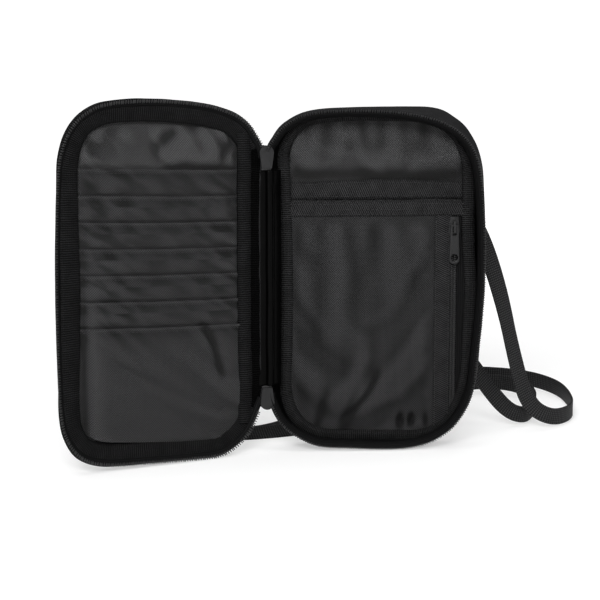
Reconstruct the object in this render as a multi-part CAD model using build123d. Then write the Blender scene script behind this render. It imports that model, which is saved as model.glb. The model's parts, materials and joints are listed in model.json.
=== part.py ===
"""Zip-around travel organiser for a passport and cards, standing open like a book, with a neck strap.

Axes: +X to the right, -Y towards whoever looks into the open organiser, +Z up.
The origin is the middle of the flat underside of the rear case. All lengths are in millimetres.
"""
from build123d import *
from math import pi, radians, tan
import os

# ---- driving dimensions -------------------------------------------------------------------------
WIDTH = 121.0            # each half, across the zip line
HEIGHT = 202.0           # each half, up the zip line
CORNER = 36.0            # corner radius of the zip line
CASE_DEPTH = 20.0        # rear case, from its rim to its outer back
LID_DEPTH = 8.0          # lid, from its rim to its outer front
LID_FLARE = 7.0          # the lid's wall slopes in by this much from the rim to the front panel
SHELL = 1.0              # outer fabric with its foam backing
BOARD = 1.6              # stiffener board
LINING = 0.4             # lining fabric
TAPE = 0.8               # woven zip tape and grosgrain
HINGE_GAP = 2.5          # between a rim and the fold line beside it
SPINE_WIDTH = 7.0        # between the spine's two fold lines
OPEN_TURN = 12.0         # at rest each fold line is turned this far from flat open, degrees
POCKETS = 7              # card pockets
POCKET_PITCH = 14.9      # from one card pocket's lip to the next
FIRST_LIP = 165.5        # height of the top card pocket's lip
PULL_LENGTH = 22.7       # zip pull tabs
PULL_WIDTH = 5.9
STRAP_TUBE = 4.0         # round section with the same area as the 10 mm webbing
CLEAR = 0.3              # running clearance

RIM = -CASE_DEPTH / 2                     # y of both rims when the organiser lies flat open
CHAIN_HEIGHT = 1.3
TAPE_HEIGHT = SPINE_WIDTH / 2 - CHAIN_HEIGHT - CLEAR / 2
TAPE_INSET = 0.6         # the zip stands this far inside the rim's outer face
ZIP_CUT = 3.0            # reaches past the zip's tape and teeth on both sides
FOLD_A = (-WIDTH / 2 - HINGE_GAP, RIM)    # fold line between the case and the spine
FOLD_B = (FOLD_A[0] - SPINE_WIDTH, RIM)   # fold line between the spine and the lid, flat open
LID_MIDDLE = FOLD_B[0] - HINGE_GAP - WIDTH / 2
SPINE_MIDDLE = (FOLD_A[0] + FOLD_B[0]) / 2

os.makedirs("parts", exist_ok=True)


def turned(body, point, degrees):
    """Turn a body about the vertical line through point."""
    centre = (point[0], point[1], 0)
    return body.rotate(Axis(centre, (0, 0, 1)), degrees)


def with_spine(body):
    """Move a piece of the flat-open spine to its place at rest."""
    return turned(body, FOLD_A, OPEN_TURN)


def with_lid(body):
    """Move a piece of the flat-open lid to its place at rest."""
    return with_spine(turned(body, FOLD_B, OPEN_TURN))


def write(name, *bodies):
    """Write one node: a single solid, or several like pieces as a group of solids."""
    shape = bodies[0] if len(bodies) == 1 else Compound(children=list(bodies))
    export_step(shape, f"parts/{name}.step")
    return shape


def outline(inset, middle=0.0):
    """The zip line's rounded rectangle, made smaller all round by inset."""
    corner = CORNER - inset
    return Pos(middle, HEIGHT / 2) * RectangleRounded(WIDTH - 2 * inset, HEIGHT - 2 * inset, corner)


def slab(sketch, front, back):
    """Extrude an upright sketch between two depths, front being nearer the viewer."""
    return extrude(Plane.XZ.offset(-back) * sketch, back - front)


def ring(outer, inner, front, back, middle=0.0):
    """A band that follows the zip line, between two insets."""
    return slab(outline(outer, middle) - outline(inner, middle), front, back)


def panel(left, right, bottom, top, front, back):
    """A plain upright rectangle of fabric."""
    sketch = Pos((left + right) / 2, (bottom + top) / 2) * Rectangle(right - left, top - bottom)
    return slab(sketch, front, back)


def spine_side(side):
    """A block that cuts the zip away along the straight side beside the spine.

    side is +1 where the spine is on the half's left, and -1 where it is on its right.
    """
    middle = 0.0 if side > 0 else LID_MIDDLE
    spine_edge = middle - side * WIDTH / 2
    block = Box(2 * ZIP_CUT, 2 * CASE_DEPTH, HEIGHT - 2 * CORNER)
    return Pos(spine_edge, RIM, HEIGHT / 2) * block


# ---- rear case ----------------------------------------------------------------------------------
BACK = CASE_DEPTH / 2
BOARD_FRONT = BACK - SHELL - BOARD
LINING_FRONT = BOARD_FRONT - LINING
BINDING_FRONT = 1.0      # depth of the binding tape round the pockets
BINDING_WIDTH = 7.5
SLEEVE_TOP = 154.5       # passport sleeve behind the mesh pocket
SLEEVE_HEM = 9.8
MESH_TOP = 143.4
MESH_HEM = 8.4
MESH_FOOT = 10.5
ZIP_X = 42.8             # pocket zip's centre line
BORDER_LEFT = 33.0       # tape that borders the mesh beside the pocket zip
BELOW_FLOOR = -1.0       # panels drawn down past the wall, which then trims them
POCKET_TAPE_NEAR = 4.0   # from the pocket zip's centre line to the tapes' outer edges
POCKET_TAPE_FAR = 8.0
POCKET_TAPE_GAP = 1.6    # from the centre line to the tapes' inner edges


def back_panel():
    return slab(outline(0), BACK - SHELL, BACK)


def case_wall():
    return ring(0, SHELL, RIM, BACK - SHELL)


def case_board():
    return slab(outline(SHELL), BOARD_FRONT, BACK - SHELL)


def case_lining():
    back = slab(outline(SHELL), LINING_FRONT, BOARD_FRONT)
    return back + ring(SHELL, SHELL + LINING, RIM, LINING_FRONT)


def zip_tape(side):
    """The woven tape that stands on a rim; side is as for spine_side."""
    middle = 0.0 if side > 0 else LID_MIDDLE
    return ring(TAPE_INSET, TAPE_INSET + TAPE, RIM - TAPE_HEIGHT, RIM, middle) - spine_side(side)


def zip_chain(side):
    """The row of coil teeth along the tape's free edge; side is as for spine_side."""
    middle = 0.0 if side > 0 else LID_MIDDLE
    top = RIM - TAPE_HEIGHT
    inset = TAPE_INSET / 2
    return ring(inset, inset + 2 * TAPE, top - CHAIN_HEIGHT, top, middle) - spine_side(side)


def case_binding():
    edge = SHELL + LINING
    return ring(edge, edge + BINDING_WIDTH, BINDING_FRONT - TAPE, BINDING_FRONT)


def between_walls(sketch):
    """Keep the part of an upright sketch that fits inside the case's lining."""
    return outline(SHELL + LINING) & sketch


def across(bottom, top, left=-WIDTH, right=WIDTH):
    """A sketch of a strip across the case, trimmed by the case's wall."""
    strip = Pos((left + right) / 2, (bottom + top) / 2) * Rectangle(right - left, top - bottom)
    return between_walls(strip)


SLEEVE_FRONT = 5.2
MESH_FRONT = 1.8


def passport_sleeve():
    return slab(across(BELOW_FLOOR, SLEEVE_TOP - SLEEVE_HEM), SLEEVE_FRONT, SLEEVE_FRONT + LINING)


def sleeve_hem():
    strip = across(SLEEVE_TOP - SLEEVE_HEM, SLEEVE_TOP)
    return slab(strip, SLEEVE_FRONT - LINING, SLEEVE_FRONT + LINING)


def mesh_hem():
    strip = across(MESH_TOP - MESH_HEM, MESH_TOP)
    return slab(strip, MESH_FRONT - LINING, MESH_FRONT + LINING)


def mesh_panel():
    strip = across(BELOW_FLOOR, MESH_TOP - MESH_HEM, right=BORDER_LEFT)
    return slab(strip, MESH_FRONT, MESH_FRONT + LINING)


def zip_border():
    strip = across(BELOW_FLOOR, MESH_TOP - MESH_HEM, BORDER_LEFT, ZIP_X - POCKET_TAPE_NEAR)
    return slab(strip, MESH_FRONT - LINING, MESH_FRONT + LINING)


def pocket_tapes():
    """The pocket zip's two woven tapes, one each side of the teeth."""
    top = MESH_TOP - MESH_HEM
    near = across(MESH_FOOT, top, ZIP_X - POCKET_TAPE_NEAR, ZIP_X - POCKET_TAPE_GAP)
    far = across(MESH_FOOT, top, ZIP_X + POCKET_TAPE_GAP, ZIP_X + POCKET_TAPE_FAR)
    return [slab(strip, MESH_FRONT, MESH_FRONT + LINING) for strip in (near, far)]


POCKET_SLIDER_HEIGHT = 11.5
POCKET_SLIDER_TOP = MESH_TOP - MESH_HEM - 0.4
POCKET_CHAIN_FOOT = MESH_FOOT + 1.5
POCKET_CHAIN_FRONT = 1.3
POCKET_CHAIN_BACK = 2.5
POCKET_SLIDER_MIDDLE = POCKET_SLIDER_TOP - POCKET_SLIDER_HEIGHT / 2
TOOTH_ROW = 1.0          # width of a row, and its middle's distance from the centre line
STOP_DROP = 2.2          # height of the bottom stop


def pocket_chain():
    """The two rows of the pocket zip's teeth, with the slit that the slider's post runs in."""
    rows = []
    for side in (-1, 1):
        middle = ZIP_X + side * TOOTH_ROW
        rows.append(panel(middle - TOOTH_ROW / 2, middle + TOOTH_ROW / 2, POCKET_CHAIN_FOOT, POCKET_SLIDER_TOP,
                          POCKET_CHAIN_FRONT, POCKET_CHAIN_BACK))
    return rows


def pocket_stop():
    """The bottom stop, crimped across both rows of teeth below their last tooth."""
    half = 1.5 * TOOTH_ROW
    return panel(ZIP_X - half, ZIP_X + half, POCKET_CHAIN_FOOT - STOP_DROP, POCKET_CHAIN_FOOT,
                 POCKET_CHAIN_FRONT - 0.2, POCKET_CHAIN_BACK)


# ---- zip sliders and pulls ----------------------------------------------------------------------
def slider_outline(width, height, waist):
    """A slider plate seen from the front: square at the waist end, rounded at the shoulders."""
    half, narrow = width / 2, waist / 2
    shoulder = -height / 2 + half
    left_side = Line((-narrow, height / 2), (-half, shoulder))
    foot = ThreePointArc((-half, shoulder), (0, -height / 2), (half, shoulder))
    right_side = Line((half, shoulder), (narrow, height / 2))
    top = Line((narrow, height / 2), (-narrow, height / 2))
    return make_face(left_side + foot + right_side + top)


BAIL_WIDTH = 1.4
BAIL_SPAN = 6.8          # along the slider
BAIL_RISE = 2.9          # clear of the slider's face
BAIL_BAR = 0.8
EYE_BAR = 1.2            # the pull's cross bar, held under the bail
POST_LENGTH = 2.4        # the post that parts the teeth, along the slider


def bail(face):
    """The bridge on a slider's front, opening towards the pull; face is the plate's front."""
    top = panel(-BAIL_WIDTH / 2, BAIL_WIDTH / 2, -BAIL_SPAN / 2, BAIL_SPAN / 2,
                face - BAIL_RISE - BAIL_BAR, face - BAIL_RISE)
    legs = [panel(-BAIL_WIDTH / 2, BAIL_WIDTH / 2, z - BAIL_BAR / 2, z + BAIL_BAR / 2,
                  face - BAIL_RISE, face)
            for z in (-(BAIL_SPAN - BAIL_BAR) / 2, (BAIL_SPAN - BAIL_BAR) / 2)]
    return top + legs[0] + legs[1]


def slider(width, height, waist, plate, gap, post):
    """A slider with its teeth end down: two plates, the post between them and the pull's bail.

    Its middle plane is y = 0 and its front faces -Y.
    """
    shape = slider_outline(width, height, waist)
    front = slab(shape, -gap / 2 - plate, -gap / 2)
    back = slab(shape, gap / 2, gap / 2 + plate)
    post_middle = -height / 2 + width / 4
    wedge = panel(-post / 2, post / 2, post_middle - POST_LENGTH / 2, post_middle + POST_LENGTH / 2,
                  -gap / 2, gap / 2)
    return front + back + wedge + bail(-gap / 2 - plate)


FOLDED_UP = 160.0        # a pull turned up as far as it goes, degrees from hanging
EYE_HEIGHT = 0.6         # the pull's cross bar hangs this far above the slider's middle
EYE_DROP = 1.5           # from the plate's face to the pull's middle plane
PULL_THICK = 1.2
PULL_TAPER = 0.6         # each side of a pull leans in by this much towards its top
PULL_CHAMFER = 1.5       # off its two lower corners
PULL_SLOT = (2.4, 5.0)   # width and length
PULL_HOLE = 2.1          # radius
HOLE_RISE = 3.6          # from the pull's lower end to the middle of its hole


def pull(face):
    """A pull tab hanging from its cross bar: a tapered plate with a slot and a round hole."""
    top = EYE_HEIGHT + EYE_BAR / 2
    bottom = top - PULL_LENGTH
    half = PULL_WIDTH / 2
    narrow = half - PULL_TAPER
    flat = half - PULL_CHAMFER
    low = bottom + PULL_CHAMFER
    body = make_face(Polyline((-narrow, top), (narrow, top), (half, bottom + half), (half, low),
                              (flat, bottom), (-flat, bottom), (-half, low), (-half, bottom + half),
                              close=True))
    slot = Pos(0, top - EYE_BAR - PULL_SLOT[1] / 2) * Rectangle(*PULL_SLOT)
    hole = Pos(0, bottom + HOLE_RISE) * Circle(PULL_HOLE)
    middle = face - EYE_DROP
    return slab(body - slot - hole, middle - PULL_THICK / 2, middle + PULL_THICK / 2)


POCKET_SLIDER_WIDTH = 6.4
POCKET_SLIDER_WAIST = 4.6
POCKET_PLATE = 0.7
POCKET_GAP = 1.8
POCKET_POST = 0.6
POCKET_SLIDER_Y = (POCKET_CHAIN_FRONT + POCKET_CHAIN_BACK) / 2
POCKET_FACE = POCKET_SLIDER_Y - POCKET_GAP / 2 - POCKET_PLATE


def at_pocket_slider(body, depth=0.0):
    return Pos(ZIP_X, depth, POCKET_SLIDER_MIDDLE) * body


def pocket_slider():
    body = slider(POCKET_SLIDER_WIDTH, POCKET_SLIDER_HEIGHT, POCKET_SLIDER_WAIST, POCKET_PLATE,
                  POCKET_GAP, POCKET_POST)
    return at_pocket_slider(body, POCKET_SLIDER_Y)


def pocket_pull():
    return at_pocket_slider(pull(POCKET_FACE))


# ---- spine --------------------------------------------------------------------------------------
SPINE_FABRIC = 0.9
SPINE_FOOT = 39.0
SPINE_TOP = HEIGHT - SPINE_FOOT
MAIN_SLIDER_WIDTH = 8.2
MAIN_SLIDER_HEIGHT = 12.8
MAIN_SLIDER_WAIST = 5.8
MAIN_PLATE = 0.9
MAIN_GAP = 2.2
MAIN_POST = 0.8
CLOSED_CHAIN = 5.6       # width of the closed teeth between the sliders and the spine fabric
CLOSED_CHAIN_THICK = 1.4
SLIDER_CLEAR = 1.0       # between the spine fabric's end and a slider


def spine_strip(front, back):
    """A layer of the spine between its fold lines."""
    return panel(FOLD_B[0] + CLEAR, FOLD_A[0] - CLEAR, SPINE_FOOT, SPINE_TOP, front, back)


def spine_cover():
    return spine_strip(RIM, RIM + SPINE_FABRIC)


def spine_lining():
    return spine_strip(RIM - LINING, RIM)


def zip_end(upper):
    """The last closed teeth, between a slider and the spine fabric."""
    half = CLOSED_CHAIN / 2
    thick = CLOSED_CHAIN_THICK / 2
    if upper:
        low, high = SPINE_TOP, SPINE_TOP + SLIDER_CLEAR
    else:
        low, high = SPINE_FOOT - SLIDER_CLEAR, SPINE_FOOT
    return panel(SPINE_MIDDLE - half, SPINE_MIDDLE + half, low, high, RIM - thick, RIM + thick)


def at_main_slider(body, upper):
    """Put a slider piece on the spine, its front turned to the outside of the organiser."""
    flip = Rotation(0, 0, 180)
    away = SLIDER_CLEAR + MAIN_SLIDER_HEIGHT / 2
    if upper:
        return Pos(SPINE_MIDDLE, RIM, SPINE_TOP + away) * flip * body
    return Pos(SPINE_MIDDLE, RIM, SPINE_FOOT - away) * flip * body


def main_slider(upper):
    body = slider(MAIN_SLIDER_WIDTH, MAIN_SLIDER_HEIGHT, MAIN_SLIDER_WAIST, MAIN_PLATE, MAIN_GAP,
                  MAIN_POST)
    if upper:
        body = Rotation(0, 180, 0) * body
    return at_main_slider(body, upper)


def main_pull(upper):
    """The upper pull hangs down; the lower one is folded up against the spine."""
    face = -MAIN_GAP / 2 - MAIN_PLATE
    body = pull(face)
    if not upper:
        eye = Axis((0, face - EYE_DROP, EYE_HEIGHT), (1, 0, 0))
        body = body.rotate(eye, -FOLDED_UP)
    return at_main_slider(body, upper)


# ---- lid ----------------------------------------------------------------------------------------
LID_FRONT = RIM + LID_DEPTH      # the lid's outer face, turned away from the viewer when open
CARD_LEFT = LID_MIDDLE - 47.0
CARD_RIGHT = LID_MIDDLE + 45.0
CARD_FOOT = 13.0
WALL_INSET = 1.3                 # the sloped wall is this wide at its rim
BOARD_INSET = LID_FLARE + 2.0    # clear of the slope
CARD_LAYER = 0.5
CARD_OVERLAP = 3.0
CARD_BINDING = (6.5, 154.0)      # width and height


def sloped_ring(outer, inner, front, back, slope):
    """A band of the lid that leans inwards by slope from its front depth to its back depth."""
    def cone(inset):
        near = Plane.XZ.offset(-front) * outline(inset, LID_MIDDLE)
        far = Plane.XZ.offset(-back) * outline(inset + slope, LID_MIDDLE)
        return loft([near, far])
    return cone(outer) - cone(inner)


def lid_cover():
    return slab(outline(LID_FLARE, LID_MIDDLE), LID_FRONT - SHELL, LID_FRONT)


def lid_wall():
    return sloped_ring(0, WALL_INSET, RIM, LID_FRONT - SHELL, LID_FLARE)


def lid_board():
    return slab(outline(BOARD_INSET, LID_MIDDLE), LID_FRONT - SHELL - BOARD, LID_FRONT - SHELL)


def lid_lining():
    return slab(outline(BOARD_INSET, LID_MIDDLE), LID_FRONT - SHELL - BOARD - LINING, LID_FRONT - SHELL - BOARD)


def lid_binding():
    """The grosgrain that covers the lid's inner seam, lying on the slope of its wall."""
    edge = WALL_INSET
    back = LID_FRONT - SHELL - BOARD - LINING
    slope = LID_FLARE * (back - RIM) / (LID_DEPTH - SHELL)
    return sloped_ring(edge, edge + TAPE, RIM, back, slope)


def card_pocket(number):
    """One card pocket, lapped over the pocket above it; the last reaches the foot of the lid."""
    lip = FIRST_LIP - number * POCKET_PITCH
    last = number == POCKETS - 1
    foot = CARD_FOOT if last else lip - POCKET_PITCH - CARD_OVERLAP
    back = LID_FRONT - SHELL - BOARD - LINING - number * CARD_LAYER
    inside = outline(BOARD_INSET, LID_MIDDLE)
    width, height = CARD_RIGHT - CARD_LEFT, lip - foot
    strip = Pos((CARD_LEFT + CARD_RIGHT) / 2, (lip + foot) / 2) * Rectangle(width, height)
    return slab(inside & strip, back - CARD_LAYER, back)


def card_binding():
    """The grosgrain round the card pockets' edge beside the spine."""
    width, height = CARD_BINDING
    foot = (HEIGHT - height) / 2
    back = LID_FRONT - SHELL - BOARD - LINING
    return panel(CARD_RIGHT, CARD_RIGHT + width, foot, foot + height, back - POCKETS * CARD_LAYER, back)


# ---- neck strap ---------------------------------------------------------------------------------
ANCHOR_X = 47.0
ANCHOR_FOOT = 160.0
ANCHOR_HEIGHT = 16.0
ANCHOR_WIDTH = 11.0
STRAP_Y = BACK + 4.0
STRAP_ROUTE = [
    (ANCHOR_X, STRAP_Y, ANCHOR_FOOT),
    (ANCHOR_X, STRAP_Y, 144),
    (62, 19, 122),
    (76, 27, 84),
    (88, 33, 44),
    (100, 37, 14),
    (116, 38, 6),
    (131, 58, 6),
    (138, 92, 6),
    (137, 126, 7),
    (118, 150, 9),
    (84, 160, 10),
    (44, 154, 10),
    (4, 134, 8),
    (-30, 96, 6),
    (-56, 62, 6),
    (-82, 49, 6),
    (-106, 53, 6),
    (-128, 52, 6),
    (-142, 44, 6),
    (-142, 27, 6),
    (-128, 18, 6),
    (-104, 19, 6),
    (-68, 24, 6),
    (-36, 36, 6),
    (0, 68, 6),
    (36, 108, 7),
    (70, 138, 8),
    (100, 142, 8),
    (118, 124, 7),
    (120, 96, 6),
    (112, 66, 6),
    (100, 47, 6),
    (86, 43, 10),
    (72, 41, 24),
    (58, 35, 44),
    (36, 26, 70),
    (6, 20, 100),
    (-24, 16, 124),
    (-ANCHOR_X, STRAP_Y, 140),
    (-ANCHOR_X, STRAP_Y, ANCHOR_FOOT),
]


def strap():
    """The strap's centre line as straight runs joined by the largest arcs that they leave room for."""
    points = [Vector(*point) for point in STRAP_ROUTE]
    radii = []
    for before, here, after in zip(points, points[1:], points[2:]):
        turn = (here - before).get_angle(after - here)
        shorter = min((here - before).length, (after - here).length)
        radii.append(0.45 * shorter / tan(radians(turn / 2)))
    print("strap radii", [round(radius) for radius in radii])
    path = FilletPolyline(*STRAP_ROUTE, radius=radii)
    tube = sweep(Plane(origin=path @ 0, z_dir=path % 0) * Circle(STRAP_TUBE / 2), path)
    section = pi * (STRAP_TUBE / 2) ** 2
    print(f"strap length {path.length:.0f}, volume against section times length "
          f"{tube.volume / (section * path.length):.3f}")
    return tube


def strap_anchor(side):
    """The webbing tab sewn to the case's back that holds one end of the strap."""
    half = ANCHOR_WIDTH / 2
    return panel(side * ANCHOR_X - half, side * ANCHOR_X + half, ANCHOR_FOOT, ANCHOR_FOOT + ANCHOR_HEIGHT,
                 BACK, STRAP_Y + STRAP_TUBE / 2)


# ---- the organiser ------------------------------------------------------------------------------
write("case_back_panel", back_panel())
write("case_wall", case_wall())
write("case_board", case_board())
write("case_lining", case_lining())
write("case_zip_tape", zip_tape(1))
write("case_zip_chain", zip_chain(1))
write("case_binding", case_binding())
write("passport_sleeve", passport_sleeve())
write("sleeve_hem", sleeve_hem())
write("mesh_hem", mesh_hem())
write("mesh_panel", mesh_panel())
write("zip_border_tape", zip_border())
write("pocket_zip_tapes", *pocket_tapes())
write("pocket_zip_chain", *pocket_chain())
write("pocket_zip_stop", pocket_stop())
write("pocket_slider", pocket_slider())
write("pocket_pull", pocket_pull())

write("spine_cover", with_spine(spine_cover()))
write("spine_lining", with_spine(spine_lining()))
for place, upper in (("upper", True), ("lower", False)):
    write(f"{place}_zip_end", with_spine(zip_end(upper)))
    write(f"{place}_slider", with_spine(main_slider(upper)))
    write(f"{place}_pull", with_spine(main_pull(upper)))

write("lid_cover", with_lid(lid_cover()))
write("lid_wall", with_lid(lid_wall()))
write("lid_board", with_lid(lid_board()))
write("lid_lining", with_lid(lid_lining()))
write("lid_binding", with_lid(lid_binding()))
write("lid_zip_tape", with_lid(zip_tape(-1)))
write("lid_zip_chain", with_lid(zip_chain(-1)))
for number in range(POCKETS):
    write(f"card_pocket_{number + 1}", with_lid(card_pocket(number)))
write("card_binding", with_lid(card_binding()))

write("strap", strap())
write("strap_anchor_right", strap_anchor(1))
write("strap_anchor_left", strap_anchor(-1))
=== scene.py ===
"""Looks of the zip-around travel organiser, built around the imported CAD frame."""
import json
import math

import bmesh
import bpy
import numpy as np
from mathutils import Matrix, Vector, noise


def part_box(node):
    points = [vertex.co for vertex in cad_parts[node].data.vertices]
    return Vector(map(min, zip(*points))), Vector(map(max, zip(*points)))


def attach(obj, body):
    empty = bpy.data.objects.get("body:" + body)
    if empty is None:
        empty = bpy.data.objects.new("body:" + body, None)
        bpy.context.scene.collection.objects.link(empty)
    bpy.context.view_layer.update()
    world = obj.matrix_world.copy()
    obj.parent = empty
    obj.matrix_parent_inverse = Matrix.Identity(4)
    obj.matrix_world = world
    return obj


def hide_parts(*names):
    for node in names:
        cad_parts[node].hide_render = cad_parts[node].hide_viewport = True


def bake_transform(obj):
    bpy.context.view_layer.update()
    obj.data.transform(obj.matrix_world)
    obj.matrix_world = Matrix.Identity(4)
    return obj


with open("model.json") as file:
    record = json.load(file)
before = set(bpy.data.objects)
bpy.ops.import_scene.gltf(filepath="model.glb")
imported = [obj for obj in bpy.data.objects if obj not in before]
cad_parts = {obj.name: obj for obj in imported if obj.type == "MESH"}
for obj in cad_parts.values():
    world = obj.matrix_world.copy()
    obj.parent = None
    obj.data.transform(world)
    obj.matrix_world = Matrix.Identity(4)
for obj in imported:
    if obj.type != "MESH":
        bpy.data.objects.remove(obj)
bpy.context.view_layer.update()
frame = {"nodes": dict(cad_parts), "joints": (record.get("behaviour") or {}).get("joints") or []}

MM = 0.001

# ---- sizes, in millimetres, from the frame --------------------------------------------------------
JOINT = {joint["name"]: joint for joint in frame["joints"]}
FOLD_A = np.array(JOINT["spine_fold"]["pos_m"]) / MM
FOLD_B = np.array(JOINT["lid_fold"]["pos_m"]) / MM
OPEN_TURN = -JOINT["spine_fold"]["range_deg"][0]


def span(node, axis):
    """Lowest and highest coordinate of a CAD node along an axis, in millimetres."""
    low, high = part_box(node)
    return low[axis] / MM, high[axis] / MM


CASE_LEFT, CASE_RIGHT = span("case_wall", 0)
WIDTH = CASE_RIGHT - CASE_LEFT
HEIGHT = span("case_wall", 2)[1]
RIM = span("case_wall", 1)[0]
BACK = span("case_back_panel", 1)[1]
DEPTH = BACK - RIM
SPINE_WIDTH = math.hypot(*(FOLD_B - FOLD_A)[:2])
HINGE_GAP = CASE_LEFT - FOLD_A[0]
# The line that each soft rim slumps to, as (across from the spine, height), up from the spine's middle.
LID_RIM = [(-3.5, 101), (-3.5, 150), (-4.5, 172), (0.5, 182.5), (7, 190.5), (17, 196.2), (35, 201),
           (62, 203.5), (88, 202.5), (101, 198.2), (110, 190.4), (116, 178.5), (119, 160), (121, 110),
           (120.8, 60), (119.5, 32), (115.5, 18.5), (107.5, 9), (94, 4), (70, 2.4), (40, 1.2), (24, 1.5),
           (13.5, 6), (5, 14), (-1, 26), (-4.5, 36), (-3.5, 55)]
CASE_RIM = [(-3, 101), (-3, 150), (-5.5, 172), (-1.5, 181), (5, 188.5), (17, 194.5), (36, 196.5), (62, 196),
            (82, 193.3), (97, 188.3), (107.5, 180.5), (114, 169.5), (117.3, 154), (119.3, 125), (119.5, 100),
            (118.5, 79), (116, 53), (114, 36), (109, 22.5), (99.5, 10.5), (85, 2.9), (66, 0.7), (40, 1.8),
            (24, 3.2), (11, 9), (2, 17), (-3.5, 28), (-5, 36), (-3, 55)]
CASE_BACK = [(0, 101), (0, 160), (2.5, 178), (12, 190), (27, 194.8), (60, 196.4), (90, 196), (103, 190.5),
             (112, 181), (118, 165), (119.5, 140), (119.5, 100), (118, 60), (116, 38), (110, 20), (100, 8),
             (86, 2), (60, 0.6), (34, 1.0), (18, 5), (7, 15), (1, 32), (0, 60)]
LID_DEPTH = 8.0


# ---- places ---------------------------------------------------------------------------------------
def turn(points, centre, degrees):
    """Turn points about the vertical line through centre."""
    points = np.array(points, float)
    c, s = math.cos(math.radians(degrees)), math.sin(math.radians(degrees))
    x, y = points[..., 0] - centre[0], points[..., 1] - centre[1]
    points[..., 0] = centre[0] + c * x - s * y
    points[..., 1] = centre[1] + s * x + c * y
    return points


FLAT_B = turn(FOLD_B, FOLD_A, -OPEN_TURN)     # the lid's fold line when the organiser lies flat open


def smooth_step(value):
    value = np.clip(value, 0, 1)
    return value * value * (3 - 2 * value)


def to_world(points, side):
    """Flat-open (across from the spine, depth behind the rim, height) to the part's frame at rest."""
    points = np.array(points, float)
    across, depth, height = points[..., 0], points[..., 1], points[..., 2]
    if side == "case":
        return np.stack([CASE_LEFT + across, RIM + depth, height], -1)
    if side == "lid":
        flat = np.stack([FLAT_B[0] - HINGE_GAP - across, RIM + depth, height], -1)
        return turn(turn(flat, FLAT_B, OPEN_TURN), FOLD_A, OPEN_TURN)
    flat = np.stack([FOLD_A[0] - across, RIM + depth, height], -1)
    return turn(flat, FOLD_A, OPEN_TURN)


def walk(line):
    """Distance along a line of points, from its first point to each."""
    return np.concatenate([[0], np.cumsum(np.linalg.norm(np.diff(line, axis=0), axis=1))])


def closed_line(corners, count):
    """A smooth closed line through corners: count + 1 evenly spaced points, the last being the first."""
    p = np.array(corners, float)
    before, after, beyond = np.roll(p, 1, 0), np.roll(p, -1, 0), np.roll(p, -2, 0)
    parts = []
    for t in np.linspace(0, 1, 16, endpoint=False):
        parts.append(0.5 * (2 * p + (after - before) * t + (2 * before - 5 * p + 4 * after - beyond) * t ** 2
                            + (3 * p - before - 3 * after + beyond) * t ** 3))
    line = np.stack(parts, 1).reshape(-1, 2)
    line = np.concatenate([line, line[:1]])
    walked = walk(line)
    where = np.linspace(0, walked[-1], count + 1)
    return np.stack([np.interp(where, walked, line[:, k]) for k in (0, 1)], 1)


def outward(line):
    """Unit normals that point out of a closed line."""
    tangent = np.roll(line[:-1], -1, 0) - np.roll(line[:-1], 1, 0)
    tangent /= np.hypot(*tangent.T)[:, None]
    normal = np.stack([-tangent[:, 1], tangent[:, 0]], 1)
    return np.concatenate([normal, normal[:1]])


RIM_STEPS = 1200
MOUTH = {"lid": closed_line(LID_RIM, RIM_STEPS), "case": closed_line(CASE_RIM, RIM_STEPS)}
BACKS = {"lid": MOUTH["lid"], "case": closed_line(CASE_BACK, RIM_STEPS)}
RIM_LENGTH = float(np.hypot(*np.diff(MOUTH["lid"], axis=0).T).sum())


def rim_line(side, count, depth=0.0):
    """Points round a half at a depth, from the middle of its spine side over the top and back.

    Returns the points, their outward normals and the distance along the rim, each count + 1 long.
    """
    share = smooth_step((depth - 2.0) / 12.0)
    line = MOUTH[side] * (1 - share) + BACKS[side] * share
    normal = outward(line)
    steps = np.arange(count + 1) * (RIM_STEPS // count)
    return line[steps], normal[steps], steps / RIM_STEPS * RIM_LENGTH


def ripple(x, y, size, seed=0.0):
    """Smooth noise from -1 to 1 at a place given in millimetres."""
    return noise.noise(Vector((x / size, y / size, seed)))


# ---- meshes ---------------------------------------------------------------------------------------
def add_object(name, data):
    piece = bpy.data.objects.new(name, data)
    bpy.context.scene.collection.objects.link(piece)
    return piece


def new_object(name, vertices, faces, material, uvs=None):
    """A smooth-shaded mesh from points in millimetres; uvs are millimetres of cloth at each vertex."""
    mesh = bpy.data.meshes.new(name)
    mesh.from_pydata([tuple(v) for v in np.array(vertices) * MM], [], [tuple(f) for f in faces])
    if uvs is not None:
        layer = mesh.uv_layers.new(name="weave")
        corner = np.zeros(len(mesh.loops), int)
        mesh.loops.foreach_get("vertex_index", corner)
        layer.data.foreach_set("uv", np.array(uvs, np.float32)[corner].ravel())
    mesh.shade_smooth()
    mesh.materials.append(material)
    return add_object(name, mesh)


def squares(rows, columns):
    """The four-cornered faces of a rows x columns array of points."""
    index = np.arange(rows * columns).reshape(rows, columns)
    return np.stack([index[:-1, :-1], index[:-1, 1:], index[1:, 1:], index[1:, :-1]], -1).reshape(-1, 4)


def grid(name, points, material, uvs=None, thick=0.0):
    """A cloth surface from a rows x columns array of points; thick gives it a body."""
    if uvs is not None:
        uvs = np.array(uvs).reshape(-1, 2)
    piece = new_object(name, points.reshape(-1, 3), squares(*points.shape[:2]), material, uvs)
    if thick:
        body = piece.modifiers.new("body", "SOLIDIFY")
        body.thickness = thick * MM
        body.offset = 0
    return piece


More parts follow.
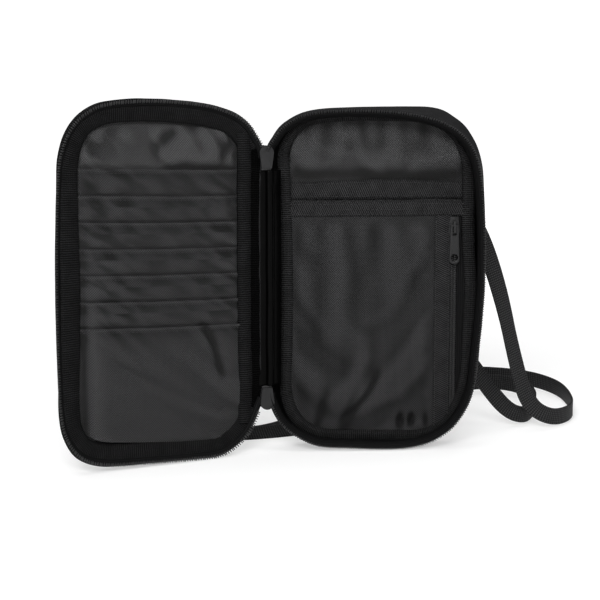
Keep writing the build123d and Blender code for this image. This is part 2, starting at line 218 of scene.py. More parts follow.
def band(name, side, profile, material, thick=0.6, start=0.0, end=1.0, wobble=0.0, drift=None):
    """A strip that follows the rim. profile lists (inset, depth) across the strip.

    start and end are shares of the rim's length; drift(where) moves the strip outwards.
    """
    profile = np.array(profile, float)
    run = walk(profile)
    columns, uvs = [], []
    for (inset, depth), across in zip(profile, run):
        points, normal, where = rim_line(side, 400, depth)
        keep = (where >= start * RIM_LENGTH - 1e-6) & (where <= end * RIM_LENGTH + 1e-6)
        points, normal, where = points[keep], normal[keep], where[keep]
        soft = np.array([wobble * ripple(w, across * 2.0, 14.0, 3.0) for w in where])
        shift = np.array([drift(w) if drift else 0.0 for w in where])
        place = points - normal * (inset - shift + soft)[:, None]
        columns.append(np.stack([place[:, 0], depth + soft, place[:, 1]], 1))
        uvs.append(np.stack([where, np.full(len(where), across)], 1))
    return grid(name, to_world(np.stack(columns, 1), side), material, np.stack(uvs, 1), thick)


def mouth_edges(side, inset, depth):
    """The near and far edges of a half's inside, made smaller by inset, each as rising heights."""
    points, normal, where = rim_line(side, RIM_STEPS, depth)
    line = points - normal * inset
    top = int(np.argmax(line[:, 1]))
    foot = int(np.argmin(line[:, 1]))
    far = line[top:foot + 1][::-1]
    near = np.concatenate([line[foot:-1], line[:top + 1]])
    return near, far


def raised(depth, step, reach=7.0):
    """How far each point of a cloth stands out from the cloth round it: 0 in a hollow, 1 on a ridge."""
    smooth = depth.copy()
    width = max(int(reach / step), 1)
    for axis in (0, 1):
        for _ in range(2):
            padded = np.concatenate([np.repeat(smooth.take([0], axis), width, axis), smooth,
                                     np.repeat(smooth.take([-1], axis), width, axis)], axis)
            total = np.cumsum(padded, axis)
            count = smooth.shape[axis]
            ahead = total.take(range(2 * width, 2 * width + count), axis)
            behind = total.take(range(0, count), axis)
            smooth = (ahead - behind) / (2 * width)
    return np.clip(0.5 + (smooth - depth) / 1.2, 0, 1)


def sheet(name, side, left, right, foot, top, depth, material, thick=0.5, fine=1.6, inset=1.4, shape=None):
    """A panel of cloth inside a half, trimmed by the wall, between two heights.

    depth(across, height) is how far behind the rim it lies; shape(across, height) may move points.
    """
    near, far = mouth_edges(side, inset, depth((left + right) / 2, (foot + top) / 2))
    foot, top = max(foot, near[0, 1] + 0.3), min(top, near[-1, 1] - 0.3)
    rows = max(int((top - foot) / fine), 2) + 1
    columns = max(int((right - left) / fine), 2) + 1
    out = np.zeros((rows, columns, 3))
    uvs = np.zeros((rows, columns, 2))
    for i, height in enumerate(np.linspace(foot, top, rows)):
        low = max(np.interp(height, near[:, 1], near[:, 0]), left)
        high = min(np.interp(height, far[:, 1], far[:, 0]), right)
        for j, share in enumerate(np.linspace(0, 1, columns)):
            across = low + (high - low) * share
            moved = shape(across, height) if shape else (across, height)
            out[i, j] = (moved[0], depth(across, height), moved[1])
            uvs[i, j] = (across, height)
    piece = grid(name, to_world(out, side), material, uvs, thick)
    # The relief is kept on the cloth for its finish, which paints shade into hollows and light onto ridges by
    # it.
    relief = piece.data.attributes.new("relief", "FLOAT", "POINT")
    relief.data.foreach_set("value", raised(out[:, :, 1], fine).ravel())
    return piece


def bead(length, width, height, rounds=6):
    """A small rounded block, centred on the origin and long in X, as points and faces."""
    points, faces = [], []
    stations = ((-0.5, 0.35), (-0.36, 0.85), (0.0, 1.0), (0.36, 0.85), (0.5, 0.35))
    for station, size in stations:
        for k in range(rounds):
            angle = 2 * math.pi * (k + 0.5) / rounds
            points.append((station * length, size * width / 2 * math.cos(angle),
                           size * height / 2 * math.sin(angle)))
    for ring in range(len(stations) - 1):
        for k in range(rounds):
            a, b = ring * rounds + k, ring * rounds + (k + 1) % rounds
            faces.append((a, b, b + rounds, a + rounds))
    faces.append(tuple(range(rounds))[::-1])
    last = (len(stations) - 1) * rounds
    faces.append(tuple(last + k for k in range(rounds)))
    return np.array(points), faces


def beads(name, places, material, size):
    """Copies of a bead at places, each (centre, direction of its length, direction of its width)."""
    block, block_faces = bead(*size)
    points, faces = [], []
    for centre, along, across in places:
        along = np.array(along) / np.linalg.norm(along)
        across = np.array(across) - along * np.dot(across, along)
        across /= np.linalg.norm(across)
        axes = np.stack([along, across, np.cross(along, across)])
        first = len(points)
        points.extend(np.array(centre) + block @ axes)
        faces.extend(tuple(first + k for k in face) for face in block_faces)
    return new_object(name, points, faces, material)


def stitches(name, line, facing, material, length=2.1, gap=0.9, width=0.5):
    """A row of stitches along a line of points in the part's frame."""
    line = np.array(line, float)
    walked = walk(line)
    places = []
    for where in np.arange(length / 2, walked[-1] - length / 2, length + gap):
        centre = [np.interp(where, walked, line[:, k]) for k in range(3)]
        ahead = [np.interp(where + 0.3, walked, line[:, k]) for k in range(3)]
        behind = [np.interp(where - 0.3, walked, line[:, k]) for k in range(3)]
        along = np.array(ahead) - np.array(behind)
        places.append((centre, along, np.cross(facing, along)))
    return beads(name, places, material, (length, width, width * 0.8))


# ---- materials ------------------------------------------------------------------------------------
class Finish:
    """A Principled material and short calls to wire its texture."""

    def __init__(self, name, colour, roughness, specular=0.5, metallic=0.0):
        self.material = bpy.data.materials.new(name)
        self.material.use_nodes = True
        self.tree = self.material.node_tree
        self.shader = self.tree.nodes["Principled BSDF"]
        self.shader.inputs["Base Color"].default_value = (*colour, 1)
        self.shader.inputs["Roughness"].default_value = roughness
        self.shader.inputs["Specular IOR Level"].default_value = specular
        self.shader.inputs["Metallic"].default_value = metallic
        self.colour = colour

    def node(self, kind, **settings):
        node = self.tree.nodes.new(kind)
        for key, value in settings.items():
            setattr(node, key, value)
        return node

    def feed(self, socket, value):
        if isinstance(value, bpy.types.NodeSocket):
            self.tree.links.new(value, socket)
        else:
            socket.default_value = value

    def maths(self, operation, first, second=0.0):
        node = self.node("ShaderNodeMath", operation=operation)
        self.feed(node.inputs[0], first)
        self.feed(node.inputs[1], second)
        return node.outputs[0]

    def times(self, first, second):
        return self.maths("MULTIPLY", first, second)

    def plus(self, first, second):
        return self.maths("ADD", first, second)

    def cloth(self):
        """The two directions of the cloth, in millimetres."""
        place = self.node("ShaderNodeUVMap", uv_map="weave")
        split = self.node("ShaderNodeSeparateXYZ")
        self.feed(split.inputs[0], place.outputs[0])
        return split.outputs[0], split.outputs[1]

    def solid(self):
        """The three directions of the object, in millimetres."""
        place = self.node("ShaderNodeTexCoord")
        scale = self.node("ShaderNodeVectorMath", operation="SCALE")
        self.feed(scale.inputs[0], place.outputs["Object"])
        scale.inputs["Scale"].default_value = 1 / MM
        split = self.node("ShaderNodeSeparateXYZ")
        self.feed(split.inputs[0], scale.outputs[0])
        return split.outputs[0], split.outputs[1], split.outputs[2]

    def wave(self, place, pitch):
        """From 0 to 1 and back once in each pitch."""
        turns = self.times(place, 2 * math.pi / pitch)
        node = self.node("ShaderNodeMath", operation="MULTIPLY_ADD")
        self.feed(node.inputs[0], self.maths("SINE", turns))
        node.inputs[1].default_value = 0.5
        node.inputs[2].default_value = 0.5
        return node.outputs[0]

    def relief(self):
        """How far the cloth stands out here, from 0 in a hollow to 1 on a ridge."""
        return self.node("ShaderNodeAttribute", attribute_name="relief").outputs["Fac"]

    def cloud(self, scale):
        """Soft noise over the object; scale is features per metre."""
        place = self.node("ShaderNodeTexCoord")
        texture = self.node("ShaderNodeTexNoise")
        self.feed(texture.inputs["Vector"], place.outputs["Object"])
        texture.inputs["Scale"].default_value = scale
        texture.inputs["Detail"].default_value = 2.0
        return texture.outputs["Fac"]

    def tint(self, amount, low, high):
        """Colour between two multiples of the base colour, by a value from 0 to 1."""
        mix = self.node("ShaderNodeMix", data_type="RGBA")
        self.feed(mix.inputs["Factor"], amount)
        mix.inputs["A"].default_value = (*[c * low for c in self.colour], 1)
        mix.inputs["B"].default_value = (*[c * high for c in self.colour], 1)
        self.feed(self.shader.inputs["Base Color"], mix.outputs["Result"])

    def rough(self, amount, low, high):
        spread = self.node("ShaderNodeMapRange")
        self.feed(spread.inputs["Value"], amount)
        spread.inputs["To Min"].default_value = low
        spread.inputs["To Max"].default_value = high
        self.feed(self.shader.inputs["Roughness"], spread.outputs[0])

    def bump(self, height, depth):
        """Raise the surface; depth is in millimetres."""
        node = self.node("ShaderNodeBump")
        node.inputs["Strength"].default_value = 1.0
        node.inputs["Distance"].default_value = depth * MM
        self.feed(node.inputs["Height"], height)
        self.feed(self.shader.inputs["Normal"], node.outputs[0])


def grosgrain(name, pitch=1.25, colour=(0.0056, 0.0056, 0.0058), slant=0.0, specular=0.04):
    """Ribbed tape: ribs run across the tape, and their threads show between them."""
    finish = Finish(name, colour, 0.6, specular=specular)
    along, across = finish.cloth()
    uneven = finish.times(finish.cloud(220.0), 0.7)
    lean = finish.plus(finish.times(across, slant), uneven)
    rib = finish.wave(finish.plus(along, lean), pitch)
    thread = finish.wave(across, 1.3)
    height = finish.plus(rib, finish.times(thread, 0.3))
    finish.bump(height, 0.35)
    shade = finish.times(rib, finish.plus(finish.cloud(150.0), 0.4))
    finish.tint(shade, 0.15, 2.6)
    return finish.material


def twill(name, colour=(0.015, 0.015, 0.0155), roughness=0.4, pitch=1.4, specular=0.3, contrast=3.6):
    """Fine diagonal lining with a satin face; its colour holds painted shade in the cloth's hollows and
    painted light on its ridges.
    """
    finish = Finish(name, colour, roughness, specular=specular)
    x, y = finish.cloth()
    diagonal = finish.wave(finish.plus(x, y), pitch)
    cross = finish.wave(finish.maths("SUBTRACT", x, y), pitch)
    height = finish.plus(diagonal, finish.times(cross, 0.6))
    finish.bump(height, 0.26)
    relief = finish.relief()
    dots = finish.times(finish.plus(diagonal, 0.15), finish.plus(cross, 0.3))
    # Painted shade and light: the weave's tone is scaled by the relief, darker in hollows and lighter on
    # ridges.
    finish.tint(finish.times(dots, finish.times(relief, 1.3)), 0.1, contrast)
    finish.rough(relief, roughness + 0.16, roughness - 0.06)
    return finish.material


def net(name, colour=(0.016, 0.016, 0.0165), pitch=1.35):
    """Fine knitted net: two diagonal sets of threads with dark holes between them."""
    finish = Finish(name, colour, 0.5, specular=0.12)
    x, y = finish.cloth()
    first = finish.wave(finish.plus(x, y), pitch)
    second = finish.wave(finish.maths("SUBTRACT", x, y), pitch)
    thread = finish.maths("MAXIMUM", finish.maths("POWER", first, 2.0), finish.maths("POWER", second, 2.0))
    finish.bump(thread, 0.25)
    # Painted shade and light: the threads' tone is scaled by the relief, darker in the net's hollows and
    # gathers and lighter on its ridges.
    finish.tint(finish.times(thread, finish.plus(finish.relief(), 0.25)), 0.05, 2.6)
    return finish.material


def tape_weave(name, colour=(0.0045, 0.0045, 0.0047)):
    """Zip tape: fine rows along the tape, with a faint rib across."""
    finish = Finish(name, colour, 0.62, specular=0.06)
    along, across = finish.cloth()
    row = finish.wave(across, 1.2)
    rib = finish.wave(along, 0.8)
    finish.bump(finish.plus(row, finish.times(rib, 0.6)), 0.14)
    finish.tint(finish.times(row, finish.plus(rib, 0.4)), 0.5, 1.6)
    return finish.material


def oxford(name, colour=(0.011, 0.011, 0.0115)):
    """Outer shell: plain woven polyester, matt with a faint grain."""
    finish = Finish(name, colour, 0.66, specular=0.06)
    x, y, z = finish.solid()
    grain = finish.times(finish.wave(finish.plus(x, y), 0.7), finish.wave(z, 0.7))
    finish.bump(finish.plus(grain, finish.cloud(260.0)), 0.12)
    finish.tint(finish.times(finish.plus(grain, 0.5), finish.cloud(90.0)), 0.6, 1.8)
    return finish.material


def webbing(name, colour=(0.0165, 0.0165, 0.017)):
    """Strap webbing: rows of plain weave along the strap."""
    finish = Finish(name, colour, 0.6, specular=0.1)
    along, across = finish.cloth()
    pick = finish.wave(along, 1.5)
    row = finish.wave(across, 1.25)
    weave = finish.times(pick, finish.plus(row, 0.35))
    finish.bump(weave, 0.3)
    finish.tint(weave, 0.3, 2.4)
    return finish.material


def plain(name, colour, roughness, specular=0.5, metallic=0.0, grain=300.0, depth=0.02, spread=0.25):
    """Moulded or painted pieces: a slight unevenness of tone, gloss and surface."""
    finish = Finish(name, colour, roughness, specular=specular, metallic=metallic)
    cloud = finish.cloud(grain)
    finish.tint(cloud, 1 - spread, 1 + spread)
    finish.rough(cloud, roughness - 0.06, roughness + 0.08)
    finish.bump(cloud, depth)
    return finish.material


SHELL = oxford("shell fabric")
LINING = twill("lining twill")
CARD = twill("card pocket twill", (0.0115, 0.0115, 0.012), specular=0.22)
# Near-black satin: the spine's own lining, and also painted shade on the case's wall lining, which is the
# same cloth as the back lining.
BLACK_SATIN_AND_SHADE = plain("black satin and painted shade", (0.0007, 0.0007, 0.0007), 0.36, specular=0.05, grain=60.0, depth=0.5)
GROSGRAIN = grosgrain("grosgrain")
# A lighter copy of the grosgrain for the case's binding: painted light, the same tape as the lid's binding.
LIT_GROSGRAIN = grosgrain("grosgrain with painted light", colour=(0.009, 0.009, 0.0092))
# A near-black copy of the grosgrain for the lid's binding beside the spine: painted shade, the same tape as
# the rest of the binding.
SHADED_GROSGRAIN = grosgrain("grosgrain in painted shade", colour=(0.0012, 0.0012, 0.0012), specular=0.01)
HEM = grosgrain("hem tape", pitch=1.2, colour=(0.016, 0.016, 0.0165), slant=0.5)
NET = net("pocket net")
TAPE = tape_weave("zip tape")
WEBBING = webbing("strap webbing")
COIL = plain("nylon coil", (0.03, 0.03, 0.0305), 0.4, specular=0.25, grain=700.0, depth=0.03)
ENAMEL = plain("slider enamel", (0.0125, 0.0125, 0.013), 0.4, specular=0.25, grain=500.0)
THREAD = plain("thread", (0.014, 0.014, 0.0145), 0.5, specular=0.3, grain=900.0)
BOARD = plain("board", (0.12, 0.12, 0.12), 0.7)


# ---- camera, floor and light ----------------------------------------------------------------------
VIEW_TURN = -4.0
VIEW_RISE = 9.0
VIEW_DISTANCE = 1.0
STUDIO_RADIUS = 8.0
GLOW_NEAR, GLOW_FAR = 0.1, 1.5          # metres from the object
AIM = Vector((-0.0472, RIM * MM, 0.0885))


def glowing(name, near, far, colour=0.6):
    """White studio paper that glows: near is its glow close to the object and far its glow 1.5 m away. Where
    near is less than far, as on the floor, the glow is painted light, dimmer round the object.
    """
    finish = Finish(name, (colour, colour, colour), 0.9, specular=0.0)
    finish.tint(finish.cloud(40.0), 0.99, 1.01)
    place = finish.node("ShaderNodeTexCoord")
    distance = finish.node("ShaderNodeVectorMath", operation="DISTANCE")
    finish.feed(distance.inputs[0], place.outputs["Object"])
    distance.inputs[1].default_value = (0, 0, 0)
    spread = finish.node("ShaderNodeMapRange", interpolation_type="SMOOTHSTEP")
    finish.feed(spread.inputs["Value"], distance.outputs["Value"])
    spread.inputs["From Min"].default_value = GLOW_NEAR
    spread.inputs["From Max"].default_value = GLOW_FAR
    spread.inputs["To Min"].default_value = near
    spread.inputs["To Max"].default_value = far
    finish.shader.inputs["Emission Color"].default_value = (1, 1, 1, 1)
    finish.feed(finish.shader.inputs["Emission Strength"], spread.outputs[0])
    return finish.material


def stage():
    scene = bpy.context.scene
    turn_by, rise = math.radians(VIEW_TURN), math.radians(VIEW_RISE)
    back = Vector((math.sin(turn_by) * math.cos(rise), -math.cos(turn_by) * math.cos(rise), math.sin(rise)))
    lens = bpy.data.cameras.new("camera")
    lens.lens = 105.0
    lens.clip_end = 20.0
    camera = bpy.data.objects.new("camera", lens)
    camera.location = AIM + back * VIEW_DISTANCE
    camera.rotation_euler = (-back).to_track_quat("-Z", "Y").to_euler()
    scene.collection.objects.link(camera)
    scene.camera = camera

    bpy.ops.mesh.primitive_circle_add(vertices=96, radius=STUDIO_RADIUS, fill_type="NGON", location=(0, 0, 0))
    floor = bpy.context.object
    floor.name = "floor"
    # The floor glows as painted light, dimmer close to the object and full far from it.
    floor.data.materials.append(glowing("white floor", 0.45, 1.0))
    bpy.ops.mesh.primitive_cylinder_add(vertices=96, radius=STUDIO_RADIUS, depth=2 * STUDIO_RADIUS,
                                        end_fill_type="NOTHING", location=(0, 0, STUDIO_RADIUS - 0.1))
    backdrop = bpy.context.object
    backdrop.name = "backdrop"
    backdrop.visible_diffuse = False
    backdrop.visible_glossy = False
    backdrop.visible_shadow = False
    backdrop.data.materials.append(glowing("white backdrop", 1.0, 1.0))

    def softbox(name, place, size, power):
        light = bpy.data.lights.new(name, "AREA")
        light.shape = "RECTANGLE"
        light.size, light.size_y = size
        light.energy = power
        lamp = bpy.data.objects.new(name, light)
        lamp.location = place
        lamp.rotation_euler = (Vector((0, 0, 0.1)) - Vector(place)).to_track_quat("-Z", "Y").to_euler()
        scene.collection.objects.link(lamp)

    softbox("front_softbox", (-0.35, -1.5, 1.0), (0.9, 0.5), 29.0)
    softbox("top_softbox", (-0.1, 0.1, 1.3), (2.0, 1.2), 12.0)
    softbox("right_softbox", (1.2, -0.6, 0.9), (0.4, 0.8), 5.0)
    world = bpy.data.worlds.new("studio")
    world.use_nodes = True
    world.node_tree.nodes["Background"].inputs["Color"].default_value = (1, 1, 1, 1)
    world.node_tree.nodes["Background"].inputs["Strength"].default_value = 0.08
    scene.world = world
    scene.view_settings.view_transform = "Standard"


stage()

# ---- neck strap -----------------------------------------------------------------------------------
STRAP_WIDTH = 10.0
STRAP_THICK = 1.3
STRAP_ROUTE = [
    (47, 14, 160),
    (47, 14, 144),
    (62, 19, 122),
    (76, 27, 84),
    (86, 33, 44),
    (95, 37, 15),
    (110, 36, 6),
    (128, 55, 6),
    (134, 92, 6),
    (133, 126, 7),
    (116, 150, 9),
    (84, 160, 10),
    (44, 154, 10),
    (4, 130, 6),
    (-32, 86, 2),
    (-58, 48, 1.4),
    (-84, 38, 1.4),
    (-107, 44, 1.4),
    (-128, 46, 1.4),
    (-142, 42, 1.6),
    (-142, 27, 2),
    (-128, 18, 2.6),
    (-104, 19, 2.8),
    (-68, 24, 2.8),
    (-36, 36, 3),
    (0, 68, 4.5),
    (36, 108, 7),
    (70, 138, 8),
    (97, 142, 8),
    (112, 124, 7),
    (113, 96, 6),
    (105, 66, 6),
    (95, 45, 6),
    (84, 43, 10),
    (72, 41, 24),
    (58, 35, 44),
    (36, 26, 70),
    (6, 20, 100),
    (-24, 16, 124),
    (-47, 14, 140),
    (-47, 14, 160),
]


def smooth_route(name, route):
    """The points of a smooth line that has a route's points as its control points, in millimetres."""
    data = bpy.data.curves.new(name, "CURVE")
    data.dimensions = "3D"
    data.resolution_u = 12
    spline = data.splines.new("NURBS")
    spline.points.add(len(route) - 1)
    for point, place in zip(spline.points, route):
        point.co = (*[value * MM for value in place], 1.0)
    spline.order_u = 3
    spline.use_endpoint_u = True
    curve = add_object(name, data)
    bpy.context.view_layer.update()
    mesh = bpy.data.meshes.new_from_object(curve.evaluated_get(bpy.context.evaluated_depsgraph_get()))
    points = np.array([vertex.co for vertex in mesh.vertices]) / MM
    bpy.data.meshes.remove(mesh)
    bpy.data.objects.remove(curve)
    return points


def strap():
    """Flat webbing on its route: flat to the case at its ends, then on edge, and nearly flat behind it."""
    line = smooth_route("strap_route", STRAP_ROUTE)
    walked = walk(line)
    count = int(walked[-1] / 2.0)
    where = np.linspace(0, walked[-1], count + 1)
    line = np.stack([np.interp(where, walked, line[:, k]) for k in range(3)], 1)
    tangent = np.gradient(line, axis=0)
    tangent /= np.linalg.norm(tangent, axis=1)[:, None]
    half, edge = STRAP_WIDTH / 2, STRAP_THICK / 2
    section = [(-half, -edge * 0.6), (-half + 0.5, -edge), (-half / 3, -edge * 0.9), (half / 3, -edge * 0.9),
               (half - 0.5, -edge), (half, -edge * 0.6), (half, edge * 0.6), (half - 0.5, edge),
               (half / 3, edge * 0.9), (-half / 3, edge * 0.9), (-half + 0.5, edge), (-half, edge * 0.6),
               (-half, -edge * 0.6)]
    run = walk(section)
    points = np.zeros((len(line), len(section), 3))
    uvs = np.zeros((len(line), len(section), 2))
    length = walked[-1]
    for i, (place, along, w) in enumerate(zip(line, tangent, where)):
        on_floor = min(smooth_step(w / 110.0), smooth_step((length - w) / 170.0))
        edgewise = max(smooth_step((place[0] - 5) / 55.0), 0.03 if w < length / 2 else 0.35)
        flat = np.array([-along[1], along[0], 0]) / max(math.hypot(along[0], along[1]), 0.1)
        lying = np.array([0, 0, edgewise]) + flat * (1 - edgewise)
        wide = np.array([1 - on_floor, 0, 0.02]) + lying * on_floor
        wide -= along * np.dot(wide, along)
        wide /= np.linalg.norm(wide)
        face = np.cross(along, wide)
        for j, (a, b) in enumerate(section):
            points[i, j] = place + wide * a + face * b
            uvs[i, j] = (w, run[j])
    piece = grid("neck_strap", points, WEBBING, uvs)
    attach(piece, "case")
    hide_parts("strap")


strap()


# ---- rear case ------------------------------------------------------------------------------------
def outfit(piece, body, *nodes, slot=None):
    """Let a piece ride on a body and stand for CAD nodes, hiding them."""
    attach(piece, body)
    if nodes:
        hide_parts(*nodes)
    return piece


ZIP_START = 68.0 / RIM_LENGTH            # the zip leaves out the middle of the spine side
ZIP_END = 1 - ZIP_START
SLIDER_REACH = 8.0                      # length of teeth that a slider hides


def far_side(where):
    """1 along the side away from the spine, 0 beside the spine."""
    return smooth_step((0.5 - 0.5 * math.cos(2 * math.pi * where / RIM_LENGTH)) * 1.6 - 0.3)


def ends(where):
    """1 along the top, -1 along the foot and 0 at both sides."""
    return math.sin(2 * math.pi * where / RIM_LENGTH)


def shell_panel(name, side, inset, depth, crown, material):
    """The flat outside panel of a half: a padded face with a crown, trimmed to the rim's shape."""
    rows, columns = 90, 60
    out = np.zeros((rows, columns, 3))
    uvs = np.zeros((rows, columns, 2))
    near, far = mouth_edges(side, inset, depth)
    foot, top = near[0, 1] + 0.2, near[-1, 1] - 0.2
    for i, height in enumerate(np.linspace(foot, top, rows)):
        low = np.interp(height, near[:, 1], near[:, 0])
        high = np.interp(height, far[:, 1], far[:, 0])
        for j, share in enumerate(np.linspace(0, 1, columns)):
            across = low + (high - low) * share
            edge = min(across - low, high - across, height - foot, top - height)
            rise = crown * smooth_step(edge / 16.0)
            pad = 0.35 * ripple(across, height, 30.0, 8.0) * smooth_step(edge / 12.0)
            out[i, j] = (across, depth + rise + pad, height)
            uvs[i, j] = (across, height)
    return grid(name, to_world(out, side), material, uvs, 0.8)


def rim_path(inset, depth, side, start=0.0, end=1.0, drift=None):
    """A line of points that follows the rim, in the part's frame."""
    points, normal, where = rim_line(side, 1200, depth)
    keep = (where >= start * RIM_LENGTH) & (where <= end * RIM_LENGTH)
    shift = np.array([drift(w) if drift else 0.0 for w in where])[keep]
    place = points[keep] - normal[keep] * (inset - shift)[:, None]
    flat = np.stack([place[:, 0], np.full(len(place), depth), place[:, 1]], 1)
    return to_world(flat, side)


TOOTH_PITCH = 1.36


def teeth(name, side, inset, depth, lean):
    """The row of coil teeth along the zip's free edge, each lying across the tape."""
    count = int((RIM_LENGTH * (ZIP_END - ZIP_START) - 2 * SLIDER_REACH) / TOOTH_PITCH)
    points, normal, where = rim_line(side, RIM_STEPS, depth)
    places = []
    for k in range(count):
        w = ZIP_START * RIM_LENGTH + SLIDER_REACH + (k + 0.5) * TOOTH_PITCH
        i = int(w / RIM_LENGTH * RIM_STEPS)
        centre = points[i] - normal[i] * inset
        reach = np.array([-1.0, 1.0, 0.0, 0.0])
        ahead = np.array([0.0, 0.0, -1.0, 1.0])
        across = centre[0] + normal[i][0] * reach * math.cos(lean) + normal[i][1] * ahead
        height = centre[1] + normal[i][1] * reach * math.cos(lean) - normal[i][0] * ahead
        places.append(to_world(np.stack([across, depth - reach * math.sin(lean), height], 1), side))
    return beads(name, [((a + b) / 2, b - a, d - c) for a, b, c, d in places], COIL, (2.3, 0.7, 1.0))


def zip_edge(side, body, tape_profile, lean):
    """A half's side of the main zip: woven tape and coil teeth."""
    tape = band(f"{body}_zip_tape_cloth", side, tape_profile, TAPE, 0.7, ZIP_START, ZIP_END)
    outfit(tape, body, f"{body}_zip_tape", slot="zip_tape")
    inset, depth = tape_profile[-1]
    coil = teeth(f"{body}_zip_teeth", side, inset - 0.5, depth - 0.5, lean)
    outfit(coil, body, f"{body}_zip_chain", slot="coil")


def case_binding_drift(where):
    """How far the binding inside the case lies outwards: most at the top, and more beside the pocket zip."""
    top, foot = max(ends(where), 0.0), max(-ends(where), 0.0)
    share = where / RIM_LENGTH
    beside_zip = smooth_step((share - 0.44) / 0.08) * smooth_step((0.76 - share) / 0.08)
    return 1.2 - 2.0 * far_side(where) + 5.0 * top ** 2 + 2.4 * foot ** 2 + 3.2 * beside_zip


# The share of the rim, each way from the middle of the spine side, where the lid's binding is drawn in a
# near-black copy of its grosgrain as painted shade.
NEAR_TAPE = 0.13


def lid_binding_drift(where):
    """The lid's binding is narrow at the top and foot, and laps over the spine."""
    return 4.6 * (1 - far_side(where)) ** 2 + 5.5 * abs(ends(where)) ** 1.5 * far_side(where) - 1.0


def case():
    wall = band("case_shell_wall", "case",
                [(0.3, -0.2), (-0.3, 1.5), (-0.9, 5), (-1.1, 10), (-0.7, 15), (0.2, 18), (1.2, 19.4),
                 (2.6, 20.0), (4.5, 20.0)], SHELL, 0.9, wobble=0.25)
    outfit(wall, "case", "case_wall", slot="shell_fabric")
    panel = shell_panel("case_shell_panel", "case", 3.0, 19.3, 0.7, SHELL)
    outfit(panel, "case", "case_back_panel", slot="shell_fabric")
    seam = stitches("case_back_seam", rim_path(5.6, 20.6, "case"), (0, 1, 0), THREAD)
    outfit(seam, "case", slot="shell_fabric")
    piping = band("case_piping", "case", [(0.8, 19.0), (0.2, 19.5), (0.3, 20.2), (1.1, 20.6), (1.9, 20.2)],
                  GROSGRAIN, 0.5)
    outfit(piping, "case", slot="grosgrain")

    # The case's wall lining is drawn in the near-black satin: painted shade, where the rim shades the wall.
    inner = band("case_wall_lining", "case",
                 [(1.0, -0.2), (1.5, 1.0), (2.2, 4), (2.0, 8), (2.2, 12), (3.4, 15.6), (5.0, 16.6)],
                 BLACK_SATIN_AND_SHADE, 0.4, wobble=0.5)
    outfit(inner, "case", "case_lining", slot="lining_fabric")
    back = sheet("case_back_lining", "case", 0, WIDTH, 3, HEIGHT - 3, lining_depth, LINING, 0.4, 1.2, 3.0)
    outfit(back, "case", slot="lining_fabric")
    outfit(board("case_board"), "case", "case_board", slot="board")

    zip_edge("case", "case", [(3.9, 2.4), (3.0, 0.6), (2.0, -0.9), (1.0, -2.2)], math.radians(60))
    # The case's binding is drawn in the lighter copy of the grosgrain, as painted light.
    ribbed = band("case_binding_tape", "case",
                  [(5.2, 12.6), (4.6, 11.4), (5.2, 10.6), (7.5, 10.2), (10.2, 10.2), (11.4, 10.7),
                   (11.6, 11.6)],
                  LIT_GROSGRAIN, 0.6, wobble=0.2, drift=case_binding_drift)
    outfit(ribbed, "case", "case_binding", slot="grosgrain")
    line = rim_path(9.6, 9.8, "case", drift=case_binding_drift)
    sewn = stitches("case_binding_stitching", line, (0, -1, 0), LIT_GROSGRAIN, width=0.4)
    outfit(sewn, "case", slot="grosgrain")


BOARD_SHRINK = 0.9                      # the boards are smaller than in CAD, to stay inside the slumped cloth
BOARD_MIDDLE = 98.5


def board(node):
    """The stiffener inside a half, settled with the cloth round it."""
    mesh = frame["nodes"][node].data.copy()
    piece = add_object(f"{node}_sheet", mesh)
    count = len(mesh.vertices)
    points = np.zeros(count * 3)
    mesh.vertices.foreach_get("co", points)
    points = points.reshape(-1, 3) / MM
    middle = points.mean(0)
    points[:, :2] = middle[:2] + (points[:, :2] - middle[:2]) * BOARD_SHRINK
    points[:, 2] = BOARD_MIDDLE + (points[:, 2] - HEIGHT / 2) * BOARD_SHRINK
    mesh.vertices.foreach_set("co", (points * MM).ravel())
    mesh.materials.clear()
    mesh.materials.append(BOARD)
    return piece


